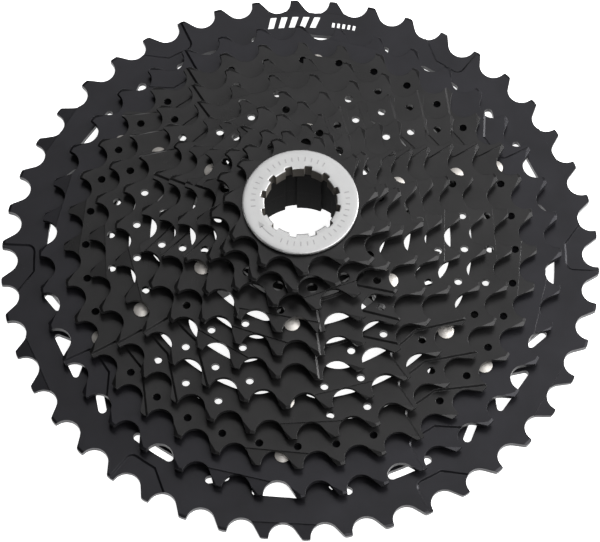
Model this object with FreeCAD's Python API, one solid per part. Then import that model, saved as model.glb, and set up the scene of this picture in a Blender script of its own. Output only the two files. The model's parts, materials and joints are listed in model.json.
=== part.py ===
import FreeCAD, Part
import math
import os

# Eleven-speed bicycle cassette, 11 to 46 teeth, in millimetres.
#
# Frame: the origin lies on the hub axis, in the inner (spoke side) face of the largest
# sprocket.  +Z points outward along the axis, from the largest sprocket to the lockring.
# Angles are counter-clockwise from +X, seen from outside.

Vector = FreeCAD.Vector
FULL_TURN = 360.0

# ---------------------------------------------------------------- driving dimensions

CHAIN_PITCH = 12.7
STACK_PITCH = 3.75          # mid-plane to mid-plane of neighbouring sprockets
STEEL_PLATE = 1.6
ALLOY_PLATE = 2.0

# The tooth gap is a round roller seat between two straight flanks.  The teeth lean: the
# flank that faces clockwise slopes more than the one that faces counter-clockwise.
SEAT_RADIUS = 4.35
SEAT_SHIFT = 0.3            # the seats sit a little clockwise of mid-gap
ALLOY_ROOT_DEPTH = 3.9      # from the pitch circle to the bottom of the seat
STEEL_ROOT_DEPTH = 4.1
TIP_HEIGHT = 1.15           # from the pitch circle to the tooth tip
STEEP_REACH = 4.75          # from the middle of a gap to the tip corners either side of it
SLOPED_REACH = 5.6
TIP_CROWN = 0.15
TIP_CHAMFER_LENGTH = 0.7
TIP_CHAMFER_DEPTH = 0.2
FACET_LENGTH = 3.8          # facet along the outer edge of the sloped flank
FACET_TIP_WIDTH = 2.0
FACET_DEPTH = 1.0
FACET_WIDTH = 2.6

ARM_COUNT = 6
ARM_ANGLE = 25.8            # clocking of the first arm of both carriers
ARM_STEP = FULL_TURN / ARM_COUNT

OUTER_RIVET_CIRCLE = 68.9   # 46 and 40 teeth to the large carrier
MIDDLE_RIVET_CIRCLE = 54.3  # 36 and 32 teeth to the large carrier
INNER_RIVET_CIRCLE = 33.3   # 28, 24 and 21 teeth to the small carrier
LOBE_RADIUS = 5.5           # material round each rivet
RIVET_SHANK_RADIUS = 2.0
RIVET_HEAD_RADIUS = 2.45
RIVET_HEAD_HEIGHT = 0.85
RIVET_HEAD_RIM = 0.3
RIVET_HEAD_FLAT = 0.05      # taken off the top of the dome
RIVET_HOLE_RADIUS = 2.05
COLLAR_RADIUS = 4.0         # spacer collars on the rivets

HOLE_RADIUS = 1.2           # row of small holes under the teeth
HOLE_DEPTH = 5.6            # from the pitch circle to the row

# Nine-spline freehub bore: wide lands with narrow grooves between them.
SPLINE_COUNT = 9
SPLINE_LAND_RADIUS = 16.35
SPLINE_GROOVE_RADIUS = 17.4
SPLINE_GROOVE_WIDTH = 13.0  # degrees
SPLINE_INDEX_WIDTH = 9.0    # the one narrow groove that sets the clocking
SPLINE_ANGLE = 20.5
SPLINE_INDEX = 6

HUB_RADIUS = 21.5
HUB_BACK = 4.0              # the hub shoulder sits inside the dish of the largest sprocket
SPACER_RADIUS = 21.0
CARRIER_SPACER = 1.0        # between the two carriers

RAMP_DEPTH = 0.45           # pick-up ramps milled in the outer face
RAMP_WALL = 0.6             # breadth of their slanted walls
RAMP_REACH = 9.4            # from the pitch circle to the ramp's inner wall
RAMP_CORNER = 2.6
BEVEL_STEP = 0.45           # release bevel: its depth at the chord and at the tooth tips
BEVEL_DEPTH = 0.7

LOCKRING_FLANGE_RADIUS = 17.65
LOCKRING_FLANGE = 1.2
LOCKRING_THREAD_RADIUS = 15.25
LOCKRING_THREAD_LENGTH = 6.5
LOCKRING_UNDERCUT = 0.9     # plain neck between the thread and the flange
LOCKRING_NECK_RADIUS = 14.8
LOCKRING_BORE_RADIUS = 13.2
LOCKRING_TOOL_RADIUS = 11.0
LOCKRING_TOOL_DEPTH = 4.8
LOCKRING_NOTCH_COUNT = 12
LOCKRING_NOTCH_RADIUS = 12.1
LOCKRING_NOTCH_WIDTH = 2.3
LOCKRING_NOTCH_ANGLE = 18.5
LOCKRING_EDGE = 0.35
WASHER_THICKNESS = 0.6
WASHER_RADIUS = 17.5
WASHER_BORE_RADIUS = 15.55
WASHER_SERRATIONS = 90
WASHER_SERRATION_DEPTH = 0.25

# One entry per sprocket, from the largest to the smallest.
#   clock    angle of tooth 0
#   ramps    teeth at which a pick-up ramp starts
#   ramp_end where the ramp's inner wall and its run-out end, in teeth from its start
#   bevels   middles of the release bevels, in teeth (a half is a tooth gap)
#   holes    teeth that have a small hole under them


def every(step, first, teeth):
    """Tooth numbers from first, step apart, all the way round."""
    return [first + step * turn for turn in range(teeth // step)]


def all_but(blanks, teeth):
    """All tooth numbers except the blanks."""
    return [tooth for tooth in range(teeth) if tooth not in blanks]


SPROCKETS = {
    46: {"clock": -2.75, "ramps": [0, 7, 15, 23, 30, 38], "ramp_end": (0.82, 1.36),
         "bevels": [3.5, 11.5, 19.5, 26.5, 34.5, 42.5], "holes": []},
    40: {"clock": 0.1, "ramps": every(10, 3, 40), "ramp_end": (0.9, 1.45),
         "bevels": every(10, 8.5, 40), "holes": []},
    36: {"clock": -0.44, "ramps": every(9, 3, 36), "ramp_end": (1.1, 1.72),
         "bevels": every(9, 8.5, 36), "holes": all_but([3, 12, 21, 30], 36)},
    32: {"clock": 9.11, "ramps": every(8, 2, 32), "ramp_end": (1.05, 1.7),
         "bevels": every(8, 7.5, 32),
         "holes": all_but([1, 2, 6, 7, 10, 12, 17, 18, 22, 23, 26, 28], 32)},
    28: {"clock": 8.46, "ramps": every(7, 2, 28), "ramp_end": (1.1, 1.7),
         "bevels": every(7, 0.5, 28), "holes": all_but([2, 6, 9, 11, 16, 20, 23, 25], 28)},
    24: {"clock": 6.28, "ramps": every(8, 2, 24), "ramp_end": (1.4, 1.9),
         "bevels": every(8, 7.5, 24), "holes": all_but([1, 2, 5, 9, 10, 13, 17, 18, 21], 24)},
    21: {"clock": 3.43, "ramps": every(7, 2, 21), "ramp_end": (1.45, 1.85),
         "bevels": every(7, 0.5, 21), "holes": every(7, 0, 21) + every(7, 4, 21)},
    18: {"clock": -0.9, "ramps": every(6, 2, 18), "ramp_end": (1.45, 1.82),
         "bevels": every(6, 1.0, 18), "holes": every(3, 1, 18)},
    15: {"clock": 14.5, "ramps": [], "ramp_end": (1.4, 1.8), "bevels": every(5, 1.5, 15),
         "holes": all_but([], 15)},
    13: {"clock": 15.7, "ramps": [], "ramp_end": (1.4, 1.8), "bevels": [], "holes": []},
    11: {"clock": 10.0, "ramps": [], "ramp_end": (1.4, 1.8), "bevels": [], "holes": []},
}
ALLOY_SPROCKETS = (46, 40)

# Open middles of the riveted sprockets: radius between the arms, rivet circle that the
# lobes reach to, and the fillet between a lobe and the ring.
RING_OPENINGS = {
    46: {"inner": 73.5, "rivets": OUTER_RIVET_CIRCLE, "fillet": 7.0},
    40: {"inner": 62.8, "rivets": None, "fillet": 0.0},
    36: {"inner": 60.0, "rivets": MIDDLE_RIVET_CIRCLE, "fillet": 14.0},
    32: {"inner": 53.5, "rivets": MIDDLE_RIVET_CIRCLE, "fillet": 9.0},
    28: {"inner": 46.7, "rivets": INNER_RIVET_CIRCLE, "fillet": 9.0},
    24: {"inner": 39.0, "rivets": INNER_RIVET_CIRCLE, "fillet": 5.0},
    21: {"inner": 34.0, "rivets": INNER_RIVET_CIRCLE, "fillet": 3.5},
}

# Truss openings in the largest sprocket.
TRUSS_ANGLE = 25.4          # clocking of the triangle beside the first arm
TRUSS_TRIANGLE_OUTER = 81.0
TRUSS_TRIANGLE_HALF = 9.6
TRUSS_TRIANGLE_APEX = 72.3
TRUSS_CORNER = 1.0
TRUSS_SLOT_RADIUS = 78.85   # flat slot half-way between two arms
TRUSS_SLOT_HALF_ANGLE = 4.3
TRUSS_SLOT_WIDTH = 2.7
TRUSS_BAR_ANGLE = 13.8      # slanted slots either side of an arm
TRUSS_BAR_HALF_ANGLE = 1.6
TRUSS_BAR_INNER = 77.8
TRUSS_BAR_OUTER = 80.1
TRUSS_BAR_WIDTH = 2.5

WINDOW_INNER = 24.3         # kidney windows in the 18-tooth sprocket
WINDOW_OUTER = 26.8
WINDOW_HALF_ANGLE = 23.0
SMALL_RING_HOLE_RADIUS = 1.6  # holes in the 15-tooth sprocket

# ---------------------------------------------------------------- levels along the axis

ORDER = list(SPROCKETS)
MID_PLANE = {teeth: ALLOY_PLATE / 2 + STACK_PITCH * place for place, teeth in enumerate(ORDER)}


def plate(teeth):
    """Thickness of a sprocket."""
    return ALLOY_PLATE if teeth in ALLOY_SPROCKETS else STEEL_PLATE


def back(teeth):
    """Height of a sprocket's inner face."""
    return MID_PLANE[teeth] - plate(teeth) / 2


def front(teeth):
    """Height of a sprocket's outer face."""
    return MID_PLANE[teeth] + plate(teeth) / 2


def pitch_radius(teeth):
    """Radius of the circle through the chain's roller centres."""
    return CHAIN_PITCH / (2 * math.sin(math.pi / teeth))


def tip_radius(teeth):
    return pitch_radius(teeth) + TIP_HEIGHT


def root_radius(teeth):
    depth = ALLOY_ROOT_DEPTH if teeth in ALLOY_SPROCKETS else STEEL_ROOT_DEPTH
    return pitch_radius(teeth) - depth


def tooth_angle(teeth, tooth):
    """Angle of a tooth, or of a tooth gap where tooth is a half."""
    return SPROCKETS[teeth]["clock"] + tooth * FULL_TURN / teeth


LARGE_HUB_TOP = 14.0
SMALL_HUB_BACK = LARGE_HUB_TOP + CARRIER_SPACER
SMALL_HUB_TOP = 24.25

# ---------------------------------------------------------------- drawing helpers


def polar(radius, degrees, z=0.0):
    angle = math.radians(degrees)
    return Vector(radius * math.cos(angle), radius * math.sin(angle), z)


def line(start, end):
    return Part.LineSegment(start, end).toShape()


def arc(start, middle, end):
    return Part.Arc(start, middle, end).toShape()


def ring_arc(radius, start, end):
    """Arc about the axis between two angles."""
    return arc(polar(radius, start), polar(radius, (start + end) / 2), polar(radius, end))


def circle_wire(radius, centre=Vector(0, 0, 0)):
    return Part.Wire(Part.Circle(centre, Vector(0, 0, 1), radius).toShape())


def closed_wire(edges):
    return Part.Wire(Part.__sortEdges__(edges))


def polygon_wire(points):
    return Part.makePolygon(points + [points[0]])


def prism(wires, bottom, top):
    """Solid between two heights from an outline and the outlines of its holes."""
    face = Part.makeFace(wires, "Part::FaceMakerBullseye")
    face.translate(Vector(0, 0, bottom))
    return face.extrude(Vector(0, 0, top - bottom))


def lathe(profile):
    """Solid of revolution from (radius, height) corners."""
    points = [Vector(radius, 0, height) for radius, height in profile]
    face = Part.Face(polygon_wire(points))
    return face.revolve(Vector(0, 0, 0), Vector(0, 0, 1), FULL_TURN)


def turned(shape, degrees):
    copy = shape.copy()
    copy.rotate(Vector(0, 0, 0), Vector(0, 0, 1), degrees)
    return copy


def round_the_arms(shape):
    """Copies of a shape drawn along +X, one on each arm."""
    return [turned(shape, ARM_ANGLE + ARM_STEP * arm) for arm in range(ARM_COUNT)]


def slot_wire(start, end, width):
    """Round-ended slot between two centres."""
    along = (end - start).normalize()
    side = Vector(-along.y, along.x, 0) * (width / 2)
    cap = along * (width / 2)
    return closed_wire([
        line(start + side, end + side),
        arc(end + side, end + cap, end - side),
        line(end - side, start - side),
        arc(start - side, start - cap, start + side),
    ])


def towards(start, end, distance):
    """Point at a distance from start, in the direction of end."""
    return start + (end - start).normalize() * distance


def rounded_polygon_wire(points, radius):
    """Polygon with every corner rounded."""
    corners = []
    for place, point in enumerate(points):
        before = (points[place - 1] - point).normalize()
        after = (points[(place + 1) % len(points)] - point).normalize()
        half_angle = before.getAngle(after) / 2
        setback = radius / math.tan(half_angle)
        bisector = (before + after).normalize()
        middle = point + bisector * (radius / math.sin(half_angle) - radius)
        corners.append((point + before * setback, middle, point + after * setback))
    edges = []
    for place, (start, middle, end) in enumerate(corners):
        following = corners[(place + 1) % len(corners)][0]
        edges.append(arc(start, middle, end))
        edges.append(line(end, following))
    return closed_wire(edges)


# ---------------------------------------------------------------- outlines


def tip_corner(teeth, gap, reach):
    """Tip corner beside a tooth gap; the reach is negative on the clockwise side."""
    tip = tip_radius(teeth)
    return polar(tip, tooth_angle(teeth, gap) + math.degrees(reach / tip))


def seat_angle(teeth, gap):
    return tooth_angle(teeth, gap) - math.degrees(SEAT_SHIFT / root_radius(teeth))


def seat_centre(teeth, gap):
    return polar(root_radius(teeth) + SEAT_RADIUS, seat_angle(teeth, gap))


def tangent_point(corner, centre, radius):
    """Where the flank from a tip corner meets the seat's circle, on the hub side."""
    offset = corner - centre
    spread = math.degrees(math.acos(radius / offset.Length))
    towards_corner = math.degrees(math.atan2(offset.y, offset.x))
    candidates = [centre + polar(radius, towards_corner + side * spread) for side in (-1, 1)]
    return min(candidates, key=lambda point: point.Length)


def tooth_outline(teeth):
    """Toothed rim: round seats, a steep and a sloped flank, and short tip lands."""
    edges = []
    for tooth in range(teeth):
        gap = tooth + 0.5
        centre = seat_centre(teeth, gap)
        seat_bottom = polar(root_radius(teeth), seat_angle(teeth, gap))
        steep = tip_corner(teeth, gap, -STEEP_REACH)
        sloped = tip_corner(teeth, gap, SLOPED_REACH)
        steep_foot = tangent_point(steep, centre, SEAT_RADIUS)
        sloped_foot = tangent_point(sloped, centre, SEAT_RADIUS)
        following = tip_corner(teeth, gap + 1, -STEEP_REACH)
        crown = (sloped + following).normalize() * (tip_radius(teeth) + TIP_CROWN)
        edges.append(line(steep, steep_foot))
        edges.append(arc(steep_foot, seat_bottom, sloped_foot))
        edges.append(line(sloped_foot, sloped))
        edges.append(arc(sloped, crown, following))
    return Part.Wire(edges)


def spline_bore():
    """Nine-groove bore that fits the freehub body."""
    edges = []
    step = FULL_TURN / SPLINE_COUNT
    widths = [SPLINE_GROOVE_WIDTH] * SPLINE_COUNT
    widths[SPLINE_INDEX] = SPLINE_INDEX_WIDTH
    for groove in range(SPLINE_COUNT):
        following = (groove + 1) % SPLINE_COUNT
        centre = SPLINE_ANGLE + step * groove
        start = centre - widths[groove] / 2
        end = centre + widths[groove] / 2
        land_end = centre + step - widths[following] / 2
        edges.append(line(polar(SPLINE_LAND_RADIUS, start), polar(SPLINE_GROOVE_RADIUS, start)))
        edges.append(ring_arc(SPLINE_GROOVE_RADIUS, start, end))
        edges.append(line(polar(SPLINE_GROOVE_RADIUS, end), polar(SPLINE_LAND_RADIUS, end)))
        edges.append(ring_arc(SPLINE_LAND_RADIUS, end, land_end))
    return closed_wire(edges)


def lobed_circle(radius, rivet_circle, lobe, fillet, inward):
    """Circle with six lobes about the rivets, blended in by fillets.

    inward: the circle is a ring's opening and the lobes stand into it.
    Otherwise the circle is a hub's rim and the lobes stand out of it.
    """
    origin = Vector(0, 0, 0)
    blend_circle = radius - fillet if inward else radius + fillet
    lobe_reach = lobe + fillet
    x = (blend_circle ** 2 + rivet_circle ** 2 - lobe_reach ** 2) / (2 * rivet_circle)
    y = math.sqrt(blend_circle ** 2 - x ** 2)
    blend_angle = math.degrees(math.atan2(y, x))
    edges = []
    for arm in range(ARM_COUNT):
        centre_angle = ARM_ANGLE + ARM_STEP * arm
        rivet = polar(rivet_circle, centre_angle)
        lobe_tip = polar(rivet_circle + (-lobe if inward else lobe), centre_angle)
        on_lobe = []
        for side in (-1, 1):
            blend = polar(blend_circle, centre_angle + side * blend_angle)
            on_circle = polar(radius, centre_angle + side * blend_angle)
            touch = towards(rivet, blend, lobe)
            middle = towards(blend, (on_circle + touch) * 0.5, fillet)
            edges.append(arc(on_circle, middle, touch))
            on_lobe.append(touch)
        edges.append(arc(on_lobe[0], lobe_tip, on_lobe[1]))
        edges.append(ring_arc(radius, centre_angle + blend_angle,
                              centre_angle + ARM_STEP - blend_angle))
    return closed_wire(edges)


def rivet_hole_wires(rivet_circle):
    angles = [ARM_ANGLE + ARM_STEP * arm for arm in range(ARM_COUNT)]
    return [circle_wire(RIVET_HOLE_RADIUS, polar(rivet_circle, angle)) for angle in angles]


def truss_wires():
    """Openings that turn the largest sprocket's web into a truss."""
    wires = []
    for arm in range(ARM_COUNT):
        centre = TRUSS_ANGLE + ARM_STEP * arm
        triangle = [
            Vector(TRUSS_TRIANGLE_OUTER, TRUSS_TRIANGLE_HALF, 0),
            Vector(TRUSS_TRIANGLE_OUTER, -TRUSS_TRIANGLE_HALF, 0),
            Vector(TRUSS_TRIANGLE_APEX, 0, 0),
        ]
        wires.append(turned(rounded_polygon_wire(triangle, TRUSS_CORNER), centre))
        for side in (-1, 1):
            near = centre + side * (TRUSS_BAR_ANGLE - TRUSS_BAR_HALF_ANGLE)
            far = centre + side * (TRUSS_BAR_ANGLE + TRUSS_BAR_HALF_ANGLE)
            wires.append(slot_wire(polar(TRUSS_BAR_INNER, near), polar(TRUSS_BAR_OUTER, far),
                                   TRUSS_BAR_WIDTH))
        mid = centre + ARM_STEP / 2
        start = mid - TRUSS_SLOT_HALF_ANGLE
        end = mid + TRUSS_SLOT_HALF_ANGLE
        low = TRUSS_SLOT_RADIUS - TRUSS_SLOT_WIDTH / 2
        high = TRUSS_SLOT_RADIUS + TRUSS_SLOT_WIDTH / 2
        cap = math.degrees(TRUSS_SLOT_WIDTH / 2 / TRUSS_SLOT_RADIUS)
        wires.append(closed_wire([
            ring_arc(high, start, end),
            arc(polar(high, end), polar(TRUSS_SLOT_RADIUS, end + cap), polar(low, end)),
            ring_arc(low, end, start),
            arc(polar(low, start), polar(TRUSS_SLOT_RADIUS, start - cap), polar(high, start)),
        ]))
    return wires


def window_wires():
    """Kidney windows of the 18-tooth sprocket, between the arms' angles."""
    wires = []
    middle = (WINDOW_INNER + WINDOW_OUTER) / 2
    cap = math.degrees((WINDOW_OUTER - WINDOW_INNER) / 2 / middle)
    for arm in range(ARM_COUNT):
        centre = ARM_ANGLE + ARM_STEP * (arm + 0.5)
        start = centre - WINDOW_HALF_ANGLE + cap
        end = centre + WINDOW_HALF_ANGLE - cap
        wires.append(closed_wire([
            ring_arc(WINDOW_OUTER, start, end),
            arc(polar(WINDOW_OUTER, end), polar(middle, end + cap), polar(WINDOW_INNER, end)),
            ring_arc(WINDOW_INNER, end, start),
            arc(polar(WINDOW_INNER, start), polar(middle, start - cap),
                polar(WINDOW_OUTER, start)),
        ]))
    return wires


# ---------------------------------------------------------------- cuts in the sprockets


def along_line(point, direction, radius):
    """Where a line from a point crosses a circle about the axis, going outward."""
    nearest = point * direction
    return point + direction * (math.sqrt(nearest ** 2 - point * point + radius ** 2) - nearest)


def angle_of(point):
    return math.degrees(math.atan2(point.y, point.x))


def ramp_outline(teeth, inset):
    """Outline of a pick-up ramp that starts on +X, drawn in from its walls by an inset."""
    wall_end, run_out = SPROCKETS[teeth]["ramp_end"]
    step = FULL_TURN / teeth
    inner = pitch_radius(teeth) - RAMP_REACH
    outer = tip_radius(teeth) + 2.0
    floor = inner + inset
    corner = Vector(math.sqrt((inner + RAMP_CORNER) ** 2 - RAMP_CORNER ** 2), RAMP_CORNER, 0)
    entry = Vector(corner.x, inset, 0)
    corner_end = corner * (floor / corner.Length)
    corner_middle = towards(corner, (entry + corner_end) * 0.5, RAMP_CORNER - inset)
    wall_point = polar(inner, wall_end * step)
    direction = (polar(root_radius(teeth), run_out * step) - wall_point).normalize()
    clockwise = Vector(direction.y, -direction.x, 0)
    stop = along_line(wall_point + clockwise * inset, direction, floor)
    leave = along_line(stop, direction, outer)
    first = Vector(math.sqrt(outer ** 2 - inset ** 2), inset, 0)
    return Part.Wire([
        line(first, entry),
        arc(entry, corner_middle, corner_end),
        ring_arc(floor, angle_of(corner_end), angle_of(stop)),
        line(stop, leave),
        ring_arc(outer, angle_of(leave), angle_of(first)),
    ])


def ramp_cutter(teeth, tooth):
    """Pick-up ramp: a shallow pocket with slanted walls, from a tooth to a later gap."""
    floor = ramp_outline(teeth, RAMP_WALL)
    floor.translate(Vector(0, 0, front(teeth) - RAMP_DEPTH))
    mouth = ramp_outline(teeth, -RAMP_WALL)
    mouth.translate(Vector(0, 0, front(teeth) + RAMP_DEPTH))
    pocket = Part.makeLoft([floor, mouth], True, True)
    return turned(pocket, tooth_angle(teeth, tooth))


def bevel_cutter(teeth, middle):
    """Release bevel: behind a shallow chord step two teeth slope towards their tips."""
    chord = root_radius(teeth) + 0.1
    rise = tip_radius(teeth) - chord
    half = CHAIN_PITCH * 0.98
    reach = 1.5
    top = front(teeth)
    slope = (BEVEL_DEPTH - BEVEL_STEP) / rise
    profile = [
        Vector(chord, -half, top - BEVEL_STEP),
        Vector(chord + reach * rise, -half, top - BEVEL_STEP - reach * rise * slope),
        Vector(chord + reach * rise, -half, top + 1.0),
        Vector(chord, -half, top + 1.0),
    ]
    wedge = Part.Face(polygon_wire(profile)).extrude(Vector(0, 2 * half, 0))
    return turned(wedge, tooth_angle(teeth, middle))


def face_drop(teeth, tooth):
    """How far a ramp or a release bevel lowers the outer face at a tooth's sloped flank."""
    ramps = SPROCKETS[teeth]["ramps"]
    bevels = SPROCKETS[teeth]["bevels"]
    in_ramp = any((tooth - start) % teeth == 1 for start in ramps)
    in_bevel = any((tooth - middle + 0.5) % teeth <= 1.0 for middle in bevels)
    return max(RAMP_DEPTH if in_ramp else 0.0, BEVEL_STEP if in_bevel else 0.0)


def flank_facet(teeth, tooth):
    """Facet on the outer edge of a tooth's sloped flank, widest at the tip."""
    corner = tip_corner(teeth, tooth - 0.5, SLOPED_REACH)
    foot = tangent_point(corner, seat_centre(teeth, tooth - 0.5), SEAT_RADIUS)
    low = towards(corner, foot, FACET_LENGTH)
    high = polar(tip_radius(teeth), tooth_angle(teeth, tooth - 0.5)
                 + math.degrees((SLOPED_REACH + FACET_TIP_WIDTH) / tip_radius(teeth)))
    along = (high - low).normalize()
    across = Vector(along.y, -along.x, 0)
    if across * (corner - low) < 0:
        across = across * -1
    top = front(teeth) - face_drop(teeth, tooth)
    begin = low - along * 0.5
    profile = polygon_wire([
        begin + Vector(0, 0, top),
        begin + across * FACET_WIDTH + Vector(0, 0, top - FACET_DEPTH),
        begin + across * FACET_WIDTH + Vector(0, 0, top + 2.0),
        begin + Vector(0, 0, top + 2.0),
    ])
    return Part.Face(profile).extrude(along * ((high - low).Length + 1.5))


def tip_chamfers(teeth):
    """Side chamfers that narrow the tooth tips."""
    tip = tip_radius(teeth)
    start = tip - TIP_CHAMFER_LENGTH
    end = tip + 1.0
    drop = TIP_CHAMFER_DEPTH * (end - start) / TIP_CHAMFER_LENGTH
    top = front(teeth)
    bottom = back(teeth)
    upper = lathe([(start, top), (end, top - drop), (end, top + 1.0), (start, top + 1.0)])
    lower = lathe([(start, bottom), (start, bottom - 1.0), (end, bottom - 1.0),
                   (end, bottom + drop)])
    return [upper, lower]


def sprocket(teeth):
    """One sprocket with its bore or open middle, holes, ramps and bevels."""
    spec = SPROCKETS[teeth]
    inner_wires = []
    if teeth in RING_OPENINGS:
        opening = RING_OPENINGS[teeth]
        if opening["rivets"] is None:
            inner_wires.append(circle_wire(opening["inner"]))
            inner_wires += rivet_hole_wires(OUTER_RIVET_CIRCLE)
        else:
            inner_wires.append(lobed_circle(opening["inner"], opening["rivets"], LOBE_RADIUS,
                                            opening["fillet"], inward=True))
            inner_wires += rivet_hole_wires(opening["rivets"])
    else:
        inner_wires.append(spline_bore())
    if teeth == 46:
        inner_wires += truss_wires()
    if teeth == 18:
        inner_wires += window_wires()
    hole_radius = SMALL_RING_HOLE_RADIUS if teeth == 15 else HOLE_RADIUS
    for tooth in spec["holes"]:
        centre = polar(pitch_radius(teeth) - HOLE_DEPTH, tooth_angle(teeth, tooth))
        inner_wires.append(circle_wire(hole_radius, centre))
    body = prism([tooth_outline(teeth)] + inner_wires, back(teeth), front(teeth))
    cutters = tip_chamfers(teeth)
    cutters += [ramp_cutter(teeth, tooth) for tooth in spec["ramps"]]
    cutters += [bevel_cutter(teeth, middle) for middle in spec["bevels"]]
    if teeth != 46:
        cutters += [flank_facet(teeth, tooth) for tooth in range(teeth)]
    body = body.cut(cutters)
    if teeth in COLLARS:
        body = body.fuse(prism([circle_wire(COLLARS[teeth]), spline_bore()],
                               front(ORDER[ORDER.index(teeth) - 1]), back(teeth)))
        body = body.removeSplitter()
    return body


# The two smallest sprockets have their spacer collar in one piece with them.
COLLARS = {13: 20.5, 11: 18.3}

# ---------------------------------------------------------------- carriers and spacers

ARM_HALF_ANGLE = 6.75       # the arms' sides are radial
ARM_SKIN = 2.0              # under the middle rivets' inner heads
PAD_START = 62.3            # the arm drops to the outer pad inside the 40-tooth ring
POCKET_RADIUS = 4.2         # recess round a middle rivet's inner head
STAR_FILLET = 8.0           # between the small carrier's hub and its lobes


def large_carrier():
    """Six-armed carrier of the four largest sprockets, recessed at the back."""
    pad_bottom = front(46)
    pad_top = back(40)
    seat = back(36)
    pad_end = OUTER_RIVET_CIRCLE + LOBE_RADIUS
    side_profile = lathe([
        (HUB_RADIUS - 2.0, HUB_BACK), (PAD_START - 1.5, pad_bottom), (pad_end + 1.0, pad_bottom),
        (pad_end + 1.0, pad_top), (PAD_START, pad_top), (60.4, seat), (49.0, seat),
        (46.0, seat + 0.8), (28.0, 11.6), (HUB_RADIUS - 2.0, 12.6),
    ])
    root = HUB_RADIUS - 3.0
    arm_end = MIDDLE_RIVET_CIRCLE + 2.0
    corners = [polar(root, -ARM_HALF_ANGLE), polar(arm_end, -ARM_HALF_ANGLE),
               Vector(OUTER_RIVET_CIRCLE, -LOBE_RADIUS, 0),
               Vector(OUTER_RIVET_CIRCLE, LOBE_RADIUS, 0),
               polar(arm_end, ARM_HALF_ANGLE), polar(root, ARM_HALF_ANGLE)]
    arm = closed_wire([
        line(corners[0], corners[1]),
        line(corners[1], corners[2]),
        arc(corners[2], Vector(pad_end, 0, 0), corners[3]),
        line(corners[3], corners[4]),
        line(corners[4], corners[5]),
        line(corners[5], corners[0]),
    ])
    arm_block = prism([arm], pad_bottom - 1.0, LARGE_HUB_TOP)
    pocket = prism([slot_wire(Vector(MIDDLE_RIVET_CIRCLE - 12.0, 0, 0),
                              Vector(MIDDLE_RIVET_CIRCLE, 0, 0), 2 * POCKET_RADIUS)],
                   -1.0, seat - ARM_SKIN)
    holes = []
    for rivet_circle in (MIDDLE_RIVET_CIRCLE, OUTER_RIVET_CIRCLE):
        holes.append(prism([circle_wire(RIVET_HOLE_RADIUS, Vector(rivet_circle, 0, 0))],
                           -1.0, LARGE_HUB_TOP))
    one_arm = arm_block.common(side_profile).cut([pocket] + holes)
    hub = prism([circle_wire(HUB_RADIUS)], HUB_BACK, LARGE_HUB_TOP)
    body = hub.fuse(round_the_arms(one_arm))
    bore = prism([spline_bore()], -1.0, LARGE_HUB_TOP + 1.0)
    return body.cut(bore).removeSplitter()


def small_carrier():
    """Six-lobed carrier between the 28- and 24-tooth sprockets, with its hub."""
    star = lobed_circle(HUB_RADIUS, INNER_RIVET_CIRCLE, LOBE_RADIUS, STAR_FILLET, inward=False)
    plate_part = prism([star, spline_bore()] + rivet_hole_wires(INNER_RIVET_CIRCLE),
                       front(28), back(24))
    hub = prism([circle_wire(HUB_RADIUS), spline_bore()], SMALL_HUB_BACK, SMALL_HUB_TOP)
    return hub.fuse(plate_part).removeSplitter()


def splined_spacer(bottom, top):
    """Flat spacer ring on the freehub splines."""
    return prism([circle_wire(SPACER_RADIUS), spline_bore()], bottom, top)


def rivet_collars(rivet_circle, bottom, top):
    """Six collars that hold two sprockets apart on their rivets."""
    collar = prism([circle_wire(COLLAR_RADIUS, Vector(rivet_circle, 0, 0)),
                    circle_wire(RIVET_HOLE_RADIUS, Vector(rivet_circle, 0, 0))], bottom, top)
    return round_the_arms(collar)


# ---------------------------------------------------------------- rivets


def rivet_head(base, way):
    """Low dome on a short straight rim, with a small flat on top.

    way: 1 for a head that stands up from its base, -1 for one that hangs down.
    """
    dome_height = RIVET_HEAD_HEIGHT + RIVET_HEAD_FLAT
    crown_height = dome_height - RIVET_HEAD_RIM
    sphere_radius = (RIVET_HEAD_RADIUS ** 2 + crown_height ** 2) / (2 * crown_height)
    sphere = Part.makeSphere(sphere_radius)
    sphere.translate(Vector(0, 0, base + way * (dome_height - sphere_radius)))
    blank = Part.makeCylinder(RIVET_HEAD_RADIUS, RIVET_HEAD_HEIGHT, Vector(0, 0, base),
                              Vector(0, 0, way))
    return blank.common(sphere)


def rivets(rivet_circle, bottom, top, inner_heads):
    """Six rivets with domed outer heads; without inner heads they end flush."""
    shank = Part.makeCylinder(RIVET_SHANK_RADIUS, top - bottom, Vector(0, 0, bottom))
    heads = [rivet_head(top, 1)]
    if inner_heads:
        heads.append(rivet_head(bottom, -1))
    body = shank.fuse(heads).removeSplitter()
    body.translate(Vector(rivet_circle, 0, 0))
    return round_the_arms(body)


# ---------------------------------------------------------------- lockring


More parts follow.
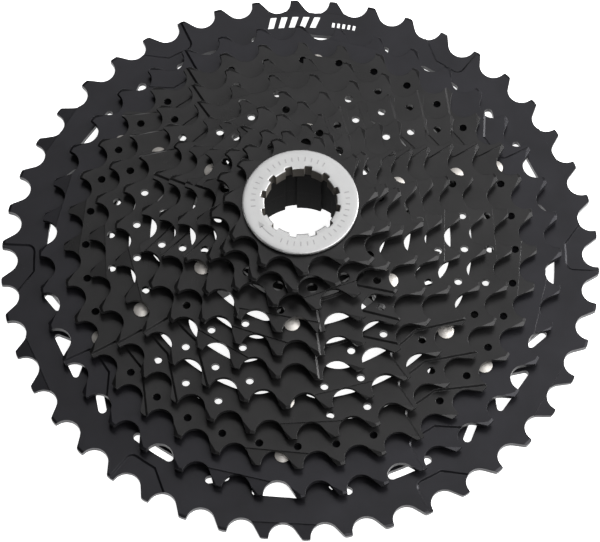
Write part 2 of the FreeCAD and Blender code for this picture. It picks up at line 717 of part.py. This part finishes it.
def lockring():
    """Threaded ring with a flat flange and a twelve-notch tool socket."""
    seat = front(11) + WASHER_THICKNESS
    top = seat + LOCKRING_FLANGE
    foot = seat - LOCKRING_THREAD_LENGTH
    socket = top - LOCKRING_TOOL_DEPTH
    body = lathe([
        (LOCKRING_TOOL_RADIUS + LOCKRING_EDGE, top),
        (LOCKRING_FLANGE_RADIUS - LOCKRING_EDGE, top),
        (LOCKRING_FLANGE_RADIUS, top - LOCKRING_EDGE),
        (LOCKRING_FLANGE_RADIUS, seat),
        (LOCKRING_NECK_RADIUS, seat),
        (LOCKRING_NECK_RADIUS, seat - LOCKRING_UNDERCUT),
        (LOCKRING_THREAD_RADIUS, seat - LOCKRING_UNDERCUT),
        (LOCKRING_THREAD_RADIUS, foot + LOCKRING_EDGE),
        (LOCKRING_THREAD_RADIUS - LOCKRING_EDGE, foot),
        (LOCKRING_BORE_RADIUS, foot),
        (LOCKRING_BORE_RADIUS, socket),
        (LOCKRING_TOOL_RADIUS, socket),
        (LOCKRING_TOOL_RADIUS, top - LOCKRING_EDGE),
    ])
    notch = Part.makeBox(LOCKRING_NOTCH_RADIUS, LOCKRING_NOTCH_WIDTH, LOCKRING_TOOL_DEPTH + 2.0,
                         Vector(0, -LOCKRING_NOTCH_WIDTH / 2, socket - 1.0))
    step = FULL_TURN / LOCKRING_NOTCH_COUNT
    notches = [turned(notch, LOCKRING_NOTCH_ANGLE + step * place)
               for place in range(LOCKRING_NOTCH_COUNT)]
    return body.cut(notches)


def lockring_washer():
    """Serrated washer that grips the smallest sprocket under the lockring."""
    step = FULL_TURN / WASHER_SERRATIONS
    points = []
    for serration in range(WASHER_SERRATIONS):
        points.append(polar(WASHER_RADIUS, step * serration))
        points.append(polar(WASHER_RADIUS - WASHER_SERRATION_DEPTH, step * (serration + 0.5)))
    outline = polygon_wire(points)
    return prism([outline, circle_wire(WASHER_BORE_RADIUS)], front(11),
                 front(11) + WASHER_THICKNESS)


# ---------------------------------------------------------------- assembly


def build():
    """Every node of the cassette, as a list of solids each."""
    nodes = {}
    for teeth in ORDER:
        nodes["sprocket_%dt" % teeth] = [sprocket(teeth)]
    nodes["large_carrier"] = [large_carrier()]
    nodes["small_carrier"] = [small_carrier()]
    nodes["outer_rivets"] = rivets(OUTER_RIVET_CIRCLE, back(46), front(40), inner_heads=False)
    nodes["middle_rivets"] = rivets(MIDDLE_RIVET_CIRCLE, back(36) - ARM_SKIN, front(32),
                                    inner_heads=True)
    nodes["inner_rivets"] = rivets(INNER_RIVET_CIRCLE, back(28), front(21), inner_heads=True)
    nodes["collars_36_32"] = rivet_collars(MIDDLE_RIVET_CIRCLE, front(36), back(32))
    nodes["collars_24_21"] = rivet_collars(INNER_RIVET_CIRCLE, front(24), back(21))
    nodes["carrier_spacer"] = [splined_spacer(LARGE_HUB_TOP, SMALL_HUB_BACK)]
    nodes["spacer_21_18"] = [splined_spacer(SMALL_HUB_TOP, back(18))]
    nodes["spacer_18_15"] = [splined_spacer(front(18), back(15))]
    nodes["lockring_washer"] = [lockring_washer()]
    nodes["lockring"] = [lockring()]
    return nodes


def main():
    os.makedirs("parts", exist_ok=True)
    for name, solids in build().items():
        shape = solids[0] if len(solids) == 1 else Part.makeCompound(solids)
        if len(shape.Solids) != len(solids) or not shape.isValid():
            raise RuntimeError("%s: %d solids, valid %s" % (name, len(shape.Solids), shape.isValid()))
        shape.exportStep("parts/%s.step" % name)
        box = shape.BoundBox
        print("%-18s solids %d faces %4d volume %9.1f  z %.2f to %.2f  r %.2f" % (
            name, len(shape.Solids), len(shape.Faces), shape.Volume, box.ZMin, box.ZMax, box.XMax))


main()
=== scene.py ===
import bpy
import json
import math
from mathutils import Matrix, Vector


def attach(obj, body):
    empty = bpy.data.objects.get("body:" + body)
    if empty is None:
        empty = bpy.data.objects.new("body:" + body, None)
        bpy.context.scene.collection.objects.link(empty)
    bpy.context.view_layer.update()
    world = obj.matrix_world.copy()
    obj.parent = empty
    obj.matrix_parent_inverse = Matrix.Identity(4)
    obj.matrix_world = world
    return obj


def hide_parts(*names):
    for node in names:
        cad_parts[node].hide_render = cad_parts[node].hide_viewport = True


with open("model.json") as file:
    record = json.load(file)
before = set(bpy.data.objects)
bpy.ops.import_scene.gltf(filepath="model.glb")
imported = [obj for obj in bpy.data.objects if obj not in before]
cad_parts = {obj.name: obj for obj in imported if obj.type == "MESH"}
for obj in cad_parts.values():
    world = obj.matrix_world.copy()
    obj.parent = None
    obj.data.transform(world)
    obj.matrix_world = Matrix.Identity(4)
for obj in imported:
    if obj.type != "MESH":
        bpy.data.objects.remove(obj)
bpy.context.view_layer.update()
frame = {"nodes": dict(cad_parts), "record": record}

MM = 0.001

# ---------------------------------------------------------------- sizes in millimetres, degrees

SPROCKET_FACE = 2.0         # outer face of the largest sprocket

LOCKRING_SEAT = 39.9        # underside of the flange
LOCKRING_TOP = 41.08        # the marks on it reach 41.1, the top of the CAD lockring
FLANGE_RADIUS = 17.65
FLANGE_CHAMFER = 0.1
EDGE_ROUND = 0.35
FACE_RINGS = (16.2, 12.9)   # extra rows of points across the flange

SOCKET_FLOOR = 36.3
SOCKET_RADIUS = 11.0
NOTCH_RADIUS = 12.1
NOTCH_WIDTH = 2.3
NOTCH_COUNT = 12
NOTCH_ANGLE = 18.5
NOTCH_CORNER = 0.15         # drop of the radius at a notch's corners
NOTCH_FLAT = 0.8            # share of a notch's width at its full radius
LAND_STEPS = 18

SHANK_BORE = 13.2
SHANK_FOOT = 33.4
FOOT_CHAMFER = 0.2
THREAD_RADIUS = 15.25
THREAD_DEPTH = 0.5
THREAD_PITCH = 1.0
THREAD_STEPS = 10           # rows of points in one pitch
VALLEY_SLOPE = 2.6          # in depths for each pitch
THREAD_START = 0.5          # length over which the thread deepens at the foot
THREAD_END = 0.4            # and fades at the neck
NECK_RADIUS = 14.8
NECK_HEIGHT = 0.9
NECK_STEP = 0.02

MARK_HEIGHT = 0.02
MARK_SUNK = 0.005

# Each row of stripes: first stripe's two angles, pitch, inner and outer radius, slant.
WIDE_STRIPES = (96.2, 97.5, 2.35, 83.6, 87.6, -0.9)
NARROW_STRIPES = (82.6, 83.2, 1.15, 84.3, 86.0, 0.0)
STRIPES_IN_ROW = 5

ARROW_RADIUS = 14.43
ARROW_HALF_WIDTH = 0.9
ARROW_BACK = 217
ARROW_TIP = 208.5
ARROW_LINE = (216, 236, 14.25, 14.6)
TICK_RUNS = ((246, 286), (300, 372), (60, 132), (146, 190))
TICK_PITCH = 8.0
TICK_WIDTH = 1.4
TICK_INNER = 13.7
TICK_OUTER = 15.1

SMOOTH_ANGLE = 30.0

# ---------------------------------------------------------------- surface looks, in metres

WEAR_AND_HIGHLIGHT_EDGE = 0.00018         # width of the sharp edges, lighter for wear and for a painted highlight
CLOUD_SCALE = 90.0          # mottling of the colour
SCUFF_SCALE = 320.0         # breaks in the lighter edges of wear and painted highlight
STREAK_SCALE = 500.0
STREAK_STRETCH = (1.0, 1.0, 8.0)
GRAIN_SCALE = 2600.0
GRAIN_DEPTH = 0.00002
CLOUD_SHARE = 0.6           # of the roughness; the streaks have the rest
STREAK_SHARE = 0.4
BORE_ROUGHNESS = 0.95
UPRIGHT = 0.5               # walls whose normal rises less than this are upright
# Radii of the painted shade that darkens the upright walls inside the bores.
SPLINE_BORE = 0.0178        # covers the bores of the sprockets and carriers
SOCKET_BORE = 0.0135        # covers the lockring's socket and shank bore

BLUE_BLACK = (0.95, 0.93, 1.12)
WARM_BLACK = (1.02, 1.0, 1.02)

# ---------------------------------------------------------------- node materials


class Graph:
    """Short names for building a material's nodes."""

    def __init__(self, name):
        self.material = bpy.data.materials.new(name)
        self.material.use_nodes = True
        self.tree = self.material.node_tree
        self.tree.nodes.clear()
        self.coordinates = self.add("ShaderNodeTexCoord").outputs["Object"]

    def add(self, kind, **settings):
        node = self.tree.nodes.new(kind)
        for key, value in settings.items():
            setattr(node, key, value)
        return node

    def put(self, socket, value):
        if isinstance(value, bpy.types.NodeSocket):
            self.tree.links.new(value, socket)
        else:
            socket.default_value = value

    def noise(self, scale, detail=3.0, roughness=0.5, stretch=None):
        node = self.add("ShaderNodeTexNoise")
        node.inputs["Scale"].default_value = scale
        node.inputs["Detail"].default_value = detail
        node.inputs["Roughness"].default_value = roughness
        vector = self.coordinates
        if stretch:
            mapping = self.add("ShaderNodeMapping")
            mapping.inputs["Scale"].default_value = stretch
            self.put(mapping.inputs["Vector"], vector)
            vector = mapping.outputs["Vector"]
        self.put(node.inputs["Vector"], vector)
        return node.outputs["Fac"]

    def ramp(self, value, low, high, low_out=0.0, high_out=1.0):
        node = self.add("ShaderNodeMapRange")
        self.put(node.inputs["Value"], value)
        node.inputs["From Min"].default_value = low
        node.inputs["From Max"].default_value = high
        node.inputs["To Min"].default_value = low_out
        node.inputs["To Max"].default_value = high_out
        return node.outputs["Result"]

    def math(self, operation, first, second):
        node = self.add("ShaderNodeMath", operation=operation)
        self.put(node.inputs[0], first)
        self.put(node.inputs[1], second)
        return node.outputs["Value"]

    def mix(self, factor, first, second):
        node = self.add("ShaderNodeMix", data_type="RGBA")
        self.put(node.inputs["Factor"], factor)
        self.put(node.inputs["A"], first)
        self.put(node.inputs["B"], second)
        return node.outputs["Result"]

    def edges(self, radius):
        """Rounded normal, and a mask that is 1 on sharp edges."""
        bevel = self.add("ShaderNodeBevel", samples=4)
        bevel.inputs["Radius"].default_value = radius
        flat = self.add("ShaderNodeNewGeometry").outputs["Normal"]
        dot = self.add("ShaderNodeVectorMath", operation="DOT_PRODUCT")
        self.put(dot.inputs[0], bevel.outputs["Normal"])
        self.put(dot.inputs[1], flat)
        return bevel.outputs["Normal"], self.ramp(dot.outputs["Value"], 1.0, 0.75)

    def painted_bore_shade(self, radius):
        """A mask that is 1 on upright walls closer to the axis than a radius in metres, where
        the bore's painted shade goes.
        """
        across = self.add("ShaderNodeVectorMath", operation="MULTIPLY")
        across.inputs[1].default_value = (1.0, 1.0, 0.0)
        self.put(across.inputs[0], self.coordinates)
        distance = self.add("ShaderNodeVectorMath", operation="LENGTH")
        self.put(distance.inputs[0], across.outputs["Vector"])
        near = self.math("LESS_THAN", distance.outputs["Value"], radius)
        split = self.add("ShaderNodeSeparateXYZ")
        self.put(split.inputs["Vector"], self.add("ShaderNodeNewGeometry").outputs["Normal"])
        rise = self.math("ABSOLUTE", split.outputs["Z"], 0.0)
        upright = self.math("LESS_THAN", rise, UPRIGHT)
        return self.math("MULTIPLY", near, upright)

    def bump(self, height, strength, distance, normal):
        node = self.add("ShaderNodeBump")
        node.inputs["Strength"].default_value = strength
        node.inputs["Distance"].default_value = distance
        self.put(node.inputs["Height"], height)
        self.put(node.inputs["Normal"], normal)
        return node.outputs["Normal"]


def grey(level, tint=(1.0, 1.0, 1.0)):
    return (level * tint[0], level * tint[1], level * tint[2], 1.0)


def metal(name, dark, light, wear_and_highlight_colour, wear_and_highlight_amount=0.5, metallic=0.6, rough=(0.35, 0.5), specular=0.5,
          grain=0.25, brushed=False, painted_bore_shade=None):
    """Satin metal with mottled colour, fine grain, lighter edges that are partly wear and
    partly a painted highlight, and a dull bore darkened with painted shade.

    The bore's painted shade is a radius in metres and the darker colour painted on the walls
    inside it.
    """
    g = Graph(name)
    cloud = g.noise(CLOUD_SCALE, detail=5.0)
    fine = g.noise(GRAIN_SCALE, detail=2.0)
    streak = g.noise(STREAK_SCALE, detail=3.0, stretch=STREAK_STRETCH if brushed else None)
    normal, mask = g.edges(WEAR_AND_HIGHLIGHT_EDGE)
    scuffs = g.ramp(g.noise(SCUFF_SCALE, detail=4.0, roughness=0.6), 0.42, 0.68)
    colour = g.mix(g.ramp(cloud, 0.3, 0.7), dark, light)
    # Lighter colour on the sharp edges: partly wear, partly a painted highlight along the
    # edges.
    wear_and_highlight_share = g.math("MULTIPLY", g.math("MULTIPLY", mask, scuffs), wear_and_highlight_amount)
    colour = g.mix(wear_and_highlight_share, colour, wear_and_highlight_colour)
    mottled = g.math("ADD", g.math("MULTIPLY", cloud, CLOUD_SHARE),
                     g.math("MULTIPLY", streak, STREAK_SHARE))
    roughness = g.ramp(mottled, 0.3, 0.7, rough[0], rough[1])
    # Painted shade: the upright walls deep in the bore get a darker colour.
    if painted_bore_shade:
        painted_bore_shade_mask = g.painted_bore_shade(painted_bore_shade[0])
        colour = g.mix(painted_bore_shade_mask, colour, painted_bore_shade[1])
        roughness = g.math("MAXIMUM", roughness, g.math("MULTIPLY", painted_bore_shade_mask, BORE_ROUGHNESS))
    shader = g.add("ShaderNodeBsdfPrincipled")
    shader.inputs["Metallic"].default_value = metallic
    shader.inputs["Specular IOR Level"].default_value = specular
    g.put(shader.inputs["Base Color"], colour)
    g.put(shader.inputs["Roughness"], roughness)
    g.put(shader.inputs["Normal"], g.bump(fine, grain, GRAIN_DEPTH, normal))
    output = g.add("ShaderNodeOutputMaterial")
    g.put(output.inputs["Surface"], shader.outputs["BSDF"])
    return g.material


# The colour in each bore entry is painted shade for the walls inside the bore.
MATERIALS = {
    "black_alloy": metal("anodised alloy", grey(0.010, BLUE_BLACK), grey(0.015, BLUE_BLACK),
                         grey(0.22), wear_and_highlight_amount=0.3, rough=(0.27, 0.35), specular=0.3,
                         painted_bore_shade=(SPLINE_BORE, grey(0.008))),
    "black_steel": metal("coated steel", grey(0.010, WARM_BLACK), grey(0.016, WARM_BLACK),
                         grey(0.22), wear_and_highlight_amount=0.3, rough=(0.26, 0.35), specular=0.3,
                         painted_bore_shade=(SPLINE_BORE, grey(0.008))),
    "carrier_alloy": metal("carrier alloy", grey(0.010), grey(0.016), grey(0.15), wear_and_highlight_amount=0.2,
                           rough=(0.45, 0.6), painted_bore_shade=(SPLINE_BORE, grey(0.008))),
    "spacer_alloy": metal("spacer alloy", grey(0.02), grey(0.03), grey(0.2), wear_and_highlight_amount=0.2,
                          painted_bore_shade=(SPLINE_BORE, grey(0.012))),
    "rivet_steel": metal("rivet steel", grey(0.40, (1.05, 1.0, 0.94)),
                         grey(0.50, (1.04, 1.0, 0.95)), grey(0.6), wear_and_highlight_amount=0.3, metallic=0.7,
                         rough=(0.5, 0.62)),
    "washer_steel": metal("dark steel", grey(0.03), grey(0.06), grey(0.3), wear_and_highlight_amount=0.5,
                          metallic=0.9, rough=(0.3, 0.45)),
    "silver_alloy": metal("silver alloy", grey(0.355), grey(0.395), grey(0.58), wear_and_highlight_amount=0.5,
                          metallic=0.9, rough=(0.34, 0.42), brushed=True,
                          painted_bore_shade=(SOCKET_BORE, grey(0.16, (1.08, 1.0, 0.9)))),
    "marks": metal("engraved marks", grey(0.27), grey(0.31), grey(0.33), wear_and_highlight_amount=0.1,
                   metallic=0.5, rough=(0.5, 0.6)),
    "white_print": metal("white print", grey(0.75), grey(0.82), grey(0.6), wear_and_highlight_amount=0.1,
                         metallic=0.0, rough=(0.5, 0.6), grain=0.1),
}

for part in frame["record"]["subparts"]:
    node = frame["nodes"][part["node"]]
    node.data.materials.clear()
    node.data.materials.append(MATERIALS[part["material_slot"]])

# ---------------------------------------------------------------- mesh helpers


def polar(radius, angle):
    """The point at a radius and an angle in degrees."""
    return (radius * math.cos(math.radians(angle)), radius * math.sin(math.radians(angle)))


def make_object(name, vertices, faces, material):
    mesh = bpy.data.meshes.new(name)
    mesh.from_pydata([[c * MM for c in v] for v in vertices], [], faces)
    mesh.validate()
    mesh.update()
    mesh.materials.append(MATERIALS[material])
    piece = bpy.data.objects.new(name, mesh)
    bpy.context.scene.collection.objects.link(piece)
    mesh.shade_smooth()
    mesh.set_sharp_from_angle(angle=math.radians(SMOOTH_ANGLE))
    return piece


def ring_mesh(rings):
    """Vertices and faces of a closed tube of equal rings, each a list of points."""
    count = len(rings[0])
    vertices = [point for ring in rings for point in ring]
    faces = []
    for row in range(len(rings)):
        following = (row + 1) % len(rings)
        for place in range(count):
            beside = (place + 1) % count
            faces.append((row * count + place, row * count + beside,
                          following * count + beside, following * count + place))
    return vertices, faces


# ---------------------------------------------------------------- lockring


def rounded(start, end, centre, steps):
    """Quarter-round between two profile points about a centre, as (radius, height)."""
    first = math.atan2(start[1] - centre[1], start[0] - centre[0])
    last = math.atan2(end[1] - centre[1], end[0] - centre[0])
    radius = math.hypot(start[0] - centre[0], start[1] - centre[1])
    points = []
    for step in range(steps + 1):
        angle = first + (last - first) * step / steps
        points.append((centre[0] + radius * math.cos(angle),
                       centre[1] + radius * math.sin(angle)))
    return points


def socket_outline():
    """Angles and radii of the notched socket, in order round the axis."""
    outline = []
    pitch = 360.0 / NOTCH_COUNT
    half_outer = math.degrees(math.asin(NOTCH_WIDTH / 2 / NOTCH_RADIUS))
    half_inner = math.degrees(math.asin(NOTCH_WIDTH / 2 / SOCKET_RADIUS))
    land = pitch - 2 * half_inner
    for notch in range(NOTCH_COUNT):
        centre = NOTCH_ANGLE + pitch * notch
        outline.append((centre - half_inner, SOCKET_RADIUS))
        outline.append((centre - half_outer, NOTCH_RADIUS - NOTCH_CORNER))
        outline.append((centre - half_outer * NOTCH_FLAT, NOTCH_RADIUS))
        outline.append((centre, NOTCH_RADIUS))
        outline.append((centre + half_outer * NOTCH_FLAT, NOTCH_RADIUS))
        outline.append((centre + half_outer, NOTCH_RADIUS - NOTCH_CORNER))
        outline.append((centre + half_inner, SOCKET_RADIUS))
        for step in range(1, LAND_STEPS):
            outline.append((centre + half_inner + land * step / LAND_STEPS, SOCKET_RADIUS))
    return outline


def thread_cut(angle, height):
    """Depth of a right-hand thread at an angle in degrees and a height."""
    phase = (height / THREAD_PITCH - angle / 360.0) % 1.0
    valley = max(0.0, 1.0 - abs(phase - 0.5) * VALLEY_SLOPE)
    start = (height - SHANK_FOOT - FOOT_CHAMFER) / THREAD_START
    end = (LOCKRING_SEAT - NECK_HEIGHT - height) / THREAD_END
    run_out = min(1.0, start, end)
    return THREAD_DEPTH * valley * max(0.0, run_out)


def lockring_piece():
    """The lockring as one closed tube, round its section from the flange's rim."""
    outline = socket_outline()
    neck_foot = LOCKRING_SEAT - NECK_HEIGHT

    def plain(radius, height):
        return [polar(radius, a) + (height,) for a, _ in outline]

    def notched(offset, height):
        return [polar(r + offset, a) + (height,) for a, r in outline]

    def threaded(height):
        return [polar(THREAD_RADIUS - thread_cut(a, height), a) + (height,) for a, _ in outline]

    rings = []
    for radius, height in rounded((FLANGE_RADIUS, LOCKRING_TOP - EDGE_ROUND),
                                  (FLANGE_RADIUS - EDGE_ROUND, LOCKRING_TOP),
                                  (FLANGE_RADIUS - EDGE_ROUND, LOCKRING_TOP - EDGE_ROUND),
                                  steps=5):
        rings.append(plain(radius, height))
    for radius in FACE_RINGS:
        rings.append(plain(radius, LOCKRING_TOP))
    for offset, height in rounded((EDGE_ROUND, LOCKRING_TOP), (0.0, LOCKRING_TOP - EDGE_ROUND),
                                  (EDGE_ROUND, LOCKRING_TOP - EDGE_ROUND), steps=4):
        rings.append(notched(offset, height))
    rings.append(notched(0.0, SOCKET_FLOOR))
    rings.append(plain(SHANK_BORE, SOCKET_FLOOR))
    rings.append(plain(SHANK_BORE, SHANK_FOOT))
    rings.append(plain(THREAD_RADIUS - 0.35, SHANK_FOOT))
    height = SHANK_FOOT + FOOT_CHAMFER
    rings.append(plain(THREAD_RADIUS - 0.15, height))
    while height < neck_foot:
        rings.append(threaded(height))
        height += THREAD_PITCH / THREAD_STEPS
    rings.append(plain(THREAD_RADIUS, neck_foot))
    rings.append(plain(NECK_RADIUS, neck_foot + NECK_STEP))
    rings.append(plain(NECK_RADIUS, LOCKRING_SEAT))
    rings.append(plain(FLANGE_RADIUS - FLANGE_CHAMFER, LOCKRING_SEAT))
    rings.append(plain(FLANGE_RADIUS, LOCKRING_SEAT + FLANGE_CHAMFER))
    vertices, faces = ring_mesh(rings[::-1])
    return make_object("threaded_lockring", vertices, faces, "silver_alloy")


lockring = lockring_piece()
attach(lockring, "lockring")
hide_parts("lockring")

# ---------------------------------------------------------------- plain marks


def raised(outline, base):
    """Vertices and faces of a thin slab over a counter-clockwise or clockwise outline."""
    area = sum(a[0] * b[1] - b[0] * a[1] for a, b in zip(outline, outline[1:] + outline[:1]))
    if area < 0:
        outline = outline[::-1]
    count = len(outline)
    vertices = [(x, y, base) for x, y in outline]
    vertices += [(x, y, base + MARK_HEIGHT) for x, y in outline]
    faces = [tuple(range(count))[::-1], tuple(range(count, 2 * count))]
    for place in range(count):
        beside = (place + 1) % count
        faces.append((place, beside, count + beside, count + place))
    return vertices, faces


def arc_band(start, end, inner, outer, base, slant=0.0, steps=6):
    """Thin raised band between two angles and two radii; slant turns its outer edge."""
    rows = []
    for radius, turn in ((inner, 0.0), (outer, slant)):
        rows.append([polar(radius, start + (end - start) * step / steps + turn)
                     for step in range(steps + 1)])
    return raised(rows[0] + rows[1][::-1], base)


def stripe_row(start, end, pitch, inner, outer, slant):
    """A row of raised stripes on the outer face of the largest sprocket."""
    return [arc_band(start - pitch * place, end - pitch * place, inner, outer,
                     SPROCKET_FACE - MARK_SUNK, slant=slant)
            for place in range(STRIPES_IN_ROW)]


def lockring_marks():
    """A turning arrow and runs of tick marks round the flange."""
    base = LOCKRING_TOP - MARK_SUNK
    slabs = [arc_band(*ARROW_LINE, base)]
    slabs.append(raised([polar(ARROW_RADIUS - ARROW_HALF_WIDTH, ARROW_BACK),
                         polar(ARROW_RADIUS + ARROW_HALF_WIDTH, ARROW_BACK),
                         polar(ARROW_RADIUS, ARROW_TIP)], base))
    for first, last in TICK_RUNS:
        angle = first
        while angle <= last:
            slabs.append(arc_band(angle, angle + TICK_WIDTH, TICK_INNER, TICK_OUTER, base,
                                  steps=1))
            angle += TICK_PITCH
    return slabs


def marks_piece(name, slabs, material, body):
    """One piece of several slabs, riding on a body."""
    vertices = []
    faces = []
    for slab_vertices, slab_faces in slabs:
        start = len(vertices)
        vertices += slab_vertices
        faces += [tuple(corner + start for corner in face) for face in slab_faces]
    piece = make_object(name, vertices, faces, material)
    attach(piece, body)


marks_piece("sprocket_stripes", stripe_row(*WIDE_STRIPES) + stripe_row(*NARROW_STRIPES),
            "white_print", "large_cluster")
marks_piece("lockring_marks", lockring_marks(), "marks", "lockring")

# ---------------------------------------------------------------- floor, lights and camera

FLOOR_HALF = 6.0            # metres, as all that follows
FLOOR_DROP = 0.0003
FLOOR_GLOW = 0.9

# Each light's place, width and watts.
LIGHTS = {
    "key": ((1.4, 0.58, 0.66), 0.7, 30.0),
    "overhead": ((0.22, 0.8, 1.45), 1.2, 8.2),
    "side": ((1.05, -0.15, 1.58), 1.3, 32.0),
    "front": ((0.3, -0.75, 1.7), 0.8, 12.0),
}
STUDIO_GLOW = 0.04

CAMERA_PLACE = (-0.05, -390.16, 812.76)     # millimetres
CAMERA_TILT = 25.418        # degrees from straight down
CAMERA_ROLL = 0.262
CAMERA_LENS = 171.07
SENSOR_WIDTH = 36.0


def floor_material():
    g = Graph("floor")
    shader = g.add("ShaderNodeBsdfPrincipled")
    g.put(shader.inputs["Base Color"], g.mix(g.noise(3.0), grey(0.93), grey(0.95)))
    shader.inputs["Roughness"].default_value = 0.9
    shader.inputs["Emission Color"].default_value = grey(1.0)
    shader.inputs["Emission Strength"].default_value = FLOOR_GLOW
    output = g.add("ShaderNodeOutputMaterial")
    g.put(output.inputs["Surface"], shader.outputs["BSDF"])
    return g.material


def add_floor():
    corners = [(-FLOOR_HALF, -FLOOR_HALF, 0), (FLOOR_HALF, -FLOOR_HALF, 0),
               (FLOOR_HALF, FLOOR_HALF, 0), (-FLOOR_HALF, FLOOR_HALF, 0)]
    mesh = bpy.data.meshes.new("floor")
    mesh.from_pydata(corners, [], [(0, 1, 2, 3)])
    mesh.materials.append(floor_material())
    floor = bpy.data.objects.new("floor", mesh)
    floor.location.z = -FLOOR_DROP
    bpy.context.scene.collection.objects.link(floor)


def add_light(name, place, width, power):
    """A round area light that faces the origin."""
    data = bpy.data.lights.new(name, "AREA")
    data.shape = "DISK"
    data.size = width
    data.energy = power
    light = bpy.data.objects.new(name, data)
    light.location = place
    light.rotation_euler = (-Vector(place)).to_track_quat("-Z", "Y").to_euler()
    bpy.context.scene.collection.objects.link(light)


def add_camera():
    data = bpy.data.cameras.new("camera")
    data.lens = CAMERA_LENS
    data.sensor_width = SENSOR_WIDTH
    data.clip_start = 0.05
    camera = bpy.data.objects.new("camera", data)
    turn = (Matrix.Rotation(math.radians(CAMERA_TILT), 4, "X")
            @ Matrix.Rotation(math.radians(CAMERA_ROLL), 4, "Z"))
    camera.matrix_world = Matrix.Translation([c * MM for c in CAMERA_PLACE]) @ turn
    bpy.context.scene.collection.objects.link(camera)
    bpy.context.scene.camera = camera


add_floor()
for name, (place, width, power) in LIGHTS.items():
    add_light(name, place, width, power)

world = bpy.data.worlds.new("studio")
world.use_nodes = True
background = world.node_tree.nodes["Background"]
background.inputs["Color"].default_value = (1.0, 1.0, 1.0, 1.0)
background.inputs["Strength"].default_value = STUDIO_GLOW
bpy.context.scene.world = world
bpy.context.scene.view_settings.view_transform = "Standard"

add_camera()
